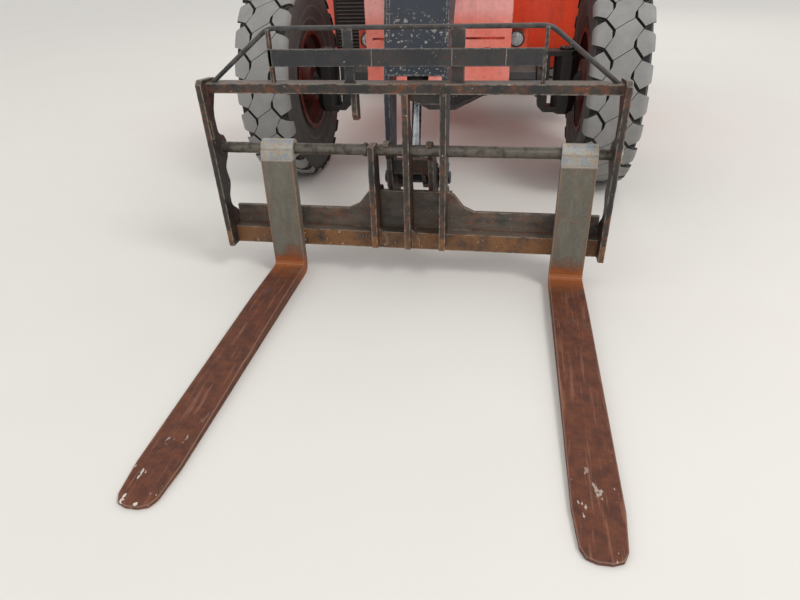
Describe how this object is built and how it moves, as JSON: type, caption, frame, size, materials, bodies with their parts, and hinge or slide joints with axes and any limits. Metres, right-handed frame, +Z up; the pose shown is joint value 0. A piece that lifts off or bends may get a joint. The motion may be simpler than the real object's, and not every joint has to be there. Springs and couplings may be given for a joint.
{
  "type": "telehandler with fork carriage",
  "caption": "Four-wheel telescopic handler with a sloping three-section boom, gooseneck nose, fork carriage with load backrest, side cab and side engine pod.",
  "frame": {"origin": "on the ground under the middle of the machine's box, forks included", "axes": "+X the machine's left (cab side), +Y its rear, +Z up; the forks point along -Y"},
  "size_m": [2.44, 7.334, 2.54],
  "materials": {
    "tyre_rubber": "dusty",
    "wheel_paint": "worn dark red",
    "axle_paint": "dusty black",
    "chassis_paint": "faded orange red",
    "cab_paint": "gloss orange red",
    "black_paint": "worn black",
    "boom_paint": "gloss orange red",
    "nose_paint": "chipped dark slate",
    "window_glass": "tinted",
    "seat_vinyl": "black vinyl",
    "cab_plastic": "moulded black",
    "cast_engine": "oily cast iron",
    "exhaust_steel": "heat stained",
    "lamp_lens": "clear lens on black body",
    "cylinder_paint": "satin black",
    "chrome_rod": "hard chrome",
    "carriage_paint": "worn black with rust",
    "fork_steel": "rusted forged steel",
    "shaft_steel": "worn steel"
  },
  "bodies": {
    "chassis": {"chassis_frame": "chassis_paint", "front_plate": "chassis_paint", "lamp_brackets": "chassis_paint", "lamps": "lamp_lens", "counterweight": "black_paint", "fuel_tank": "black_paint", "cab_step": "black_paint", "cab_shell": "cab_paint", "cab_glass": "window_glass", "cab_seat": "seat_vinyl", "cab_controls": "cab_plastic", "mirrors": "black_paint", "engine_pod": "chassis_paint", "engine_block": "cast_engine", "exhaust": "exhaust_steel", "front_axle": "axle_paint", "rear_axle": "axle_paint"},
    "door": {"cab_door": "cab_paint", "door_glass": "window_glass"},
    "hood": {"engine_hood": "cab_paint"},
    "boom": {"outer_boom": "boom_paint"},
    "boom_mid": {"mid_boom": "boom_paint"},
    "boom_inner": {"inner_boom": "nose_paint"},
    "lift_barrel_body": {"lift_barrel": "cylinder_paint"},
    "lift_rod_body": {"lift_rod": "chrome_rod"},
    "level_barrel_body": {"level_barrel": "cylinder_paint"},
    "level_rod_body": {"level_rod": "chrome_rod"},
    "tilt_barrel_body": {"tilt_barrel": "cylinder_paint"},
    "tilt_rod_body": {"tilt_rod": "chrome_rod"},
    "carriage_body": {"coupler": "black_paint", "carriage": "carriage_paint", "fork_shaft": "shaft_steel", "backrest": "carriage_paint"},
    "fork_left_body": {"fork_left": "fork_steel"},
    "fork_right_body": {"fork_right": "fork_steel"},
    "steer_front_left": {"knuckle_front_left": "axle_paint"},
    "wheel_front_left": {"tyre_front_left": "tyre_rubber", "rim_front_left": "wheel_paint"},
    "steer_front_right": {"knuckle_front_right": "axle_paint"},
    "wheel_front_right": {"tyre_front_right": "tyre_rubber", "rim_front_right": "wheel_paint"},
    "steer_rear_left": {"knuckle_rear_left": "axle_paint"},
    "wheel_rear_left": {"tyre_rear_left": "tyre_rubber", "rim_rear_left": "wheel_paint"},
    "steer_rear_right": {"knuckle_rear_right": "axle_paint"},
    "wheel_rear_right": {"tyre_rear_right": "tyre_rubber", "rim_rear_right": "wheel_paint"}
  },
  "joints": [
    {"name": "front_left_steer", "type": "hinge", "parent": "chassis", "child": "steer_front_left", "pos_m": [0.8, -0.483, 0.645], "axis": [0, 0, 1], "range_deg": [-35, 35]},
    {"name": "front_left_wheel", "type": "hinge", "parent": "steer_front_left", "child": "wheel_front_left", "pos_m": [1.05, -0.483, 0.645], "axis": [1, 0, 0], "continuous": true},
    {"name": "front_right_steer", "type": "hinge", "parent": "chassis", "child": "steer_front_right", "pos_m": [-0.8, -0.483, 0.645], "axis": [0, 0, 1], "range_deg": [-35, 35]},
    {"name": "front_right_wheel", "type": "hinge", "parent": "steer_front_right", "child": "wheel_front_right", "pos_m": [-1.05, -0.483, 0.645], "axis": [1, 0, 0], "continuous": true},
    {"name": "rear_left_steer", "type": "hinge", "parent": "chassis", "child": "steer_rear_left", "pos_m": [0.8, 2.817, 0.645], "axis": [0, 0, 1], "range_deg": [-35, 35]},
    {"name": "rear_left_wheel", "type": "hinge", "parent": "steer_rear_left", "child": "wheel_rear_left", "pos_m": [1.05, 2.817, 0.645], "axis": [1, 0, 0], "continuous": true},
    {"name": "rear_right_steer", "type": "hinge", "parent": "chassis", "child": "steer_rear_right", "pos_m": [-0.8, 2.817, 0.645], "axis": [0, 0, 1], "range_deg": [-35, 35]},
    {"name": "rear_right_wheel", "type": "hinge", "parent": "steer_rear_right", "child": "wheel_rear_right", "pos_m": [-1.05, 2.817, 0.645], "axis": [1, 0, 0], "continuous": true},
    {"name": "boom_lift", "type": "hinge", "parent": "chassis", "child": "boom", "pos_m": [0, 2.95, 2.08], "axis": [-1, 0, 0], "range_deg": [0, 68]},
    {"name": "boom_extend_mid", "type": "slide", "parent": "boom", "child": "boom_mid", "axis": [0, -0.9903, -0.1392], "range_m": [0, 2.4]},
    {"name": "boom_extend_inner", "type": "slide", "parent": "boom_mid", "child": "boom_inner", "axis": [0, -0.9903, -0.1392], "range_m": [0, 2.4]},
    {"name": "carriage_tilt", "type": "hinge", "parent": "boom_inner", "child": "carriage_body", "pos_m": [0, -1.76, 0.4], "axis": [1, 0, 0], "range_deg": [-20, 90]},
    {"name": "fork_left_slide", "type": "slide", "parent": "carriage_body", "child": "fork_left_body", "axis": [1, 0, 0], "range_m": [-0.19, 0.31]},
    {"name": "fork_right_slide", "type": "slide", "parent": "carriage_body", "child": "fork_right_body", "axis": [1, 0, 0], "range_m": [-0.45, 0.045]},
    {"name": "door_swing", "type": "hinge", "parent": "chassis", "child": "door", "pos_m": [1.193, 1.42, 1.5], "axis": [0, 0, 1], "range_deg": [0, 110]},
    {"name": "hood_lift", "type": "hinge", "parent": "chassis", "child": "hood", "pos_m": [-0.452, 1.16, 1.293], "axis": [0, 1, 0], "range_deg": [0, 55]},
    {"name": "lift_barrel_swing", "type": "hinge", "parent": "chassis", "child": "lift_barrel_body", "pos_m": [0, 2.3, 0.7], "axis": [-1, 0, 0], "range_deg": [-0.5, 53.43]},
    {"name": "lift_rod_slide", "type": "slide", "parent": "lift_barrel_body", "child": "lift_rod_body", "axis": [0, -0.9233, 0.3841], "range_m": [-0.002, 1.5761]},
    {"name": "level_barrel_swing", "type": "hinge", "parent": "chassis", "child": "level_barrel_body", "pos_m": [0, 2.649, 1.267], "axis": [-1, 0, 0], "range_deg": [-0.5, 55.45]},
    {"name": "level_rod_slide", "type": "slide", "parent": "level_barrel_body", "child": "level_rod_body", "axis": [0, -0.9665, 0.2565], "range_m": [-0.002, 0.9067]},
    {"name": "tilt_barrel_swing", "type": "hinge", "parent": "boom_inner", "child": "tilt_barrel_body", "pos_m": [0, -1.54, 1.48], "axis": [1, 0, 0], "range_deg": [-1.01, 2.81]},
    {"name": "tilt_rod_slide", "type": "slide", "parent": "tilt_barrel_body", "child": "tilt_rod_body", "axis": [0, -0.299, -0.9542], "range_m": [-0.0416, 0.1802]}
  ],
  "couplings": [
    {"joint": "boom_extend_inner", "follows": "boom_extend_mid", "ratio": 1},
    {"joint": "front_right_steer", "follows": "front_left_steer", "ratio": 1},
    {"joint": "rear_right_steer", "follows": "rear_left_steer", "ratio": 1},
    {"joint": "lift_barrel_swing", "follows": "boom_lift", "ratio": 0.77839},
    {"joint": "lift_rod_slide", "follows": "boom_lift", "m_per_rad": 1.3264},
    {"joint": "level_barrel_swing", "follows": "boom_lift", "ratio": 0.80811},
    {"joint": "level_rod_slide", "follows": "boom_lift", "m_per_rad": 0.76228},
    {"joint": "tilt_barrel_swing", "follows": "carriage_tilt", "ratio": 0.025686},
    {"joint": "tilt_rod_slide", "follows": "carriage_tilt", "m_per_rad": 0.11347}
  ]
}
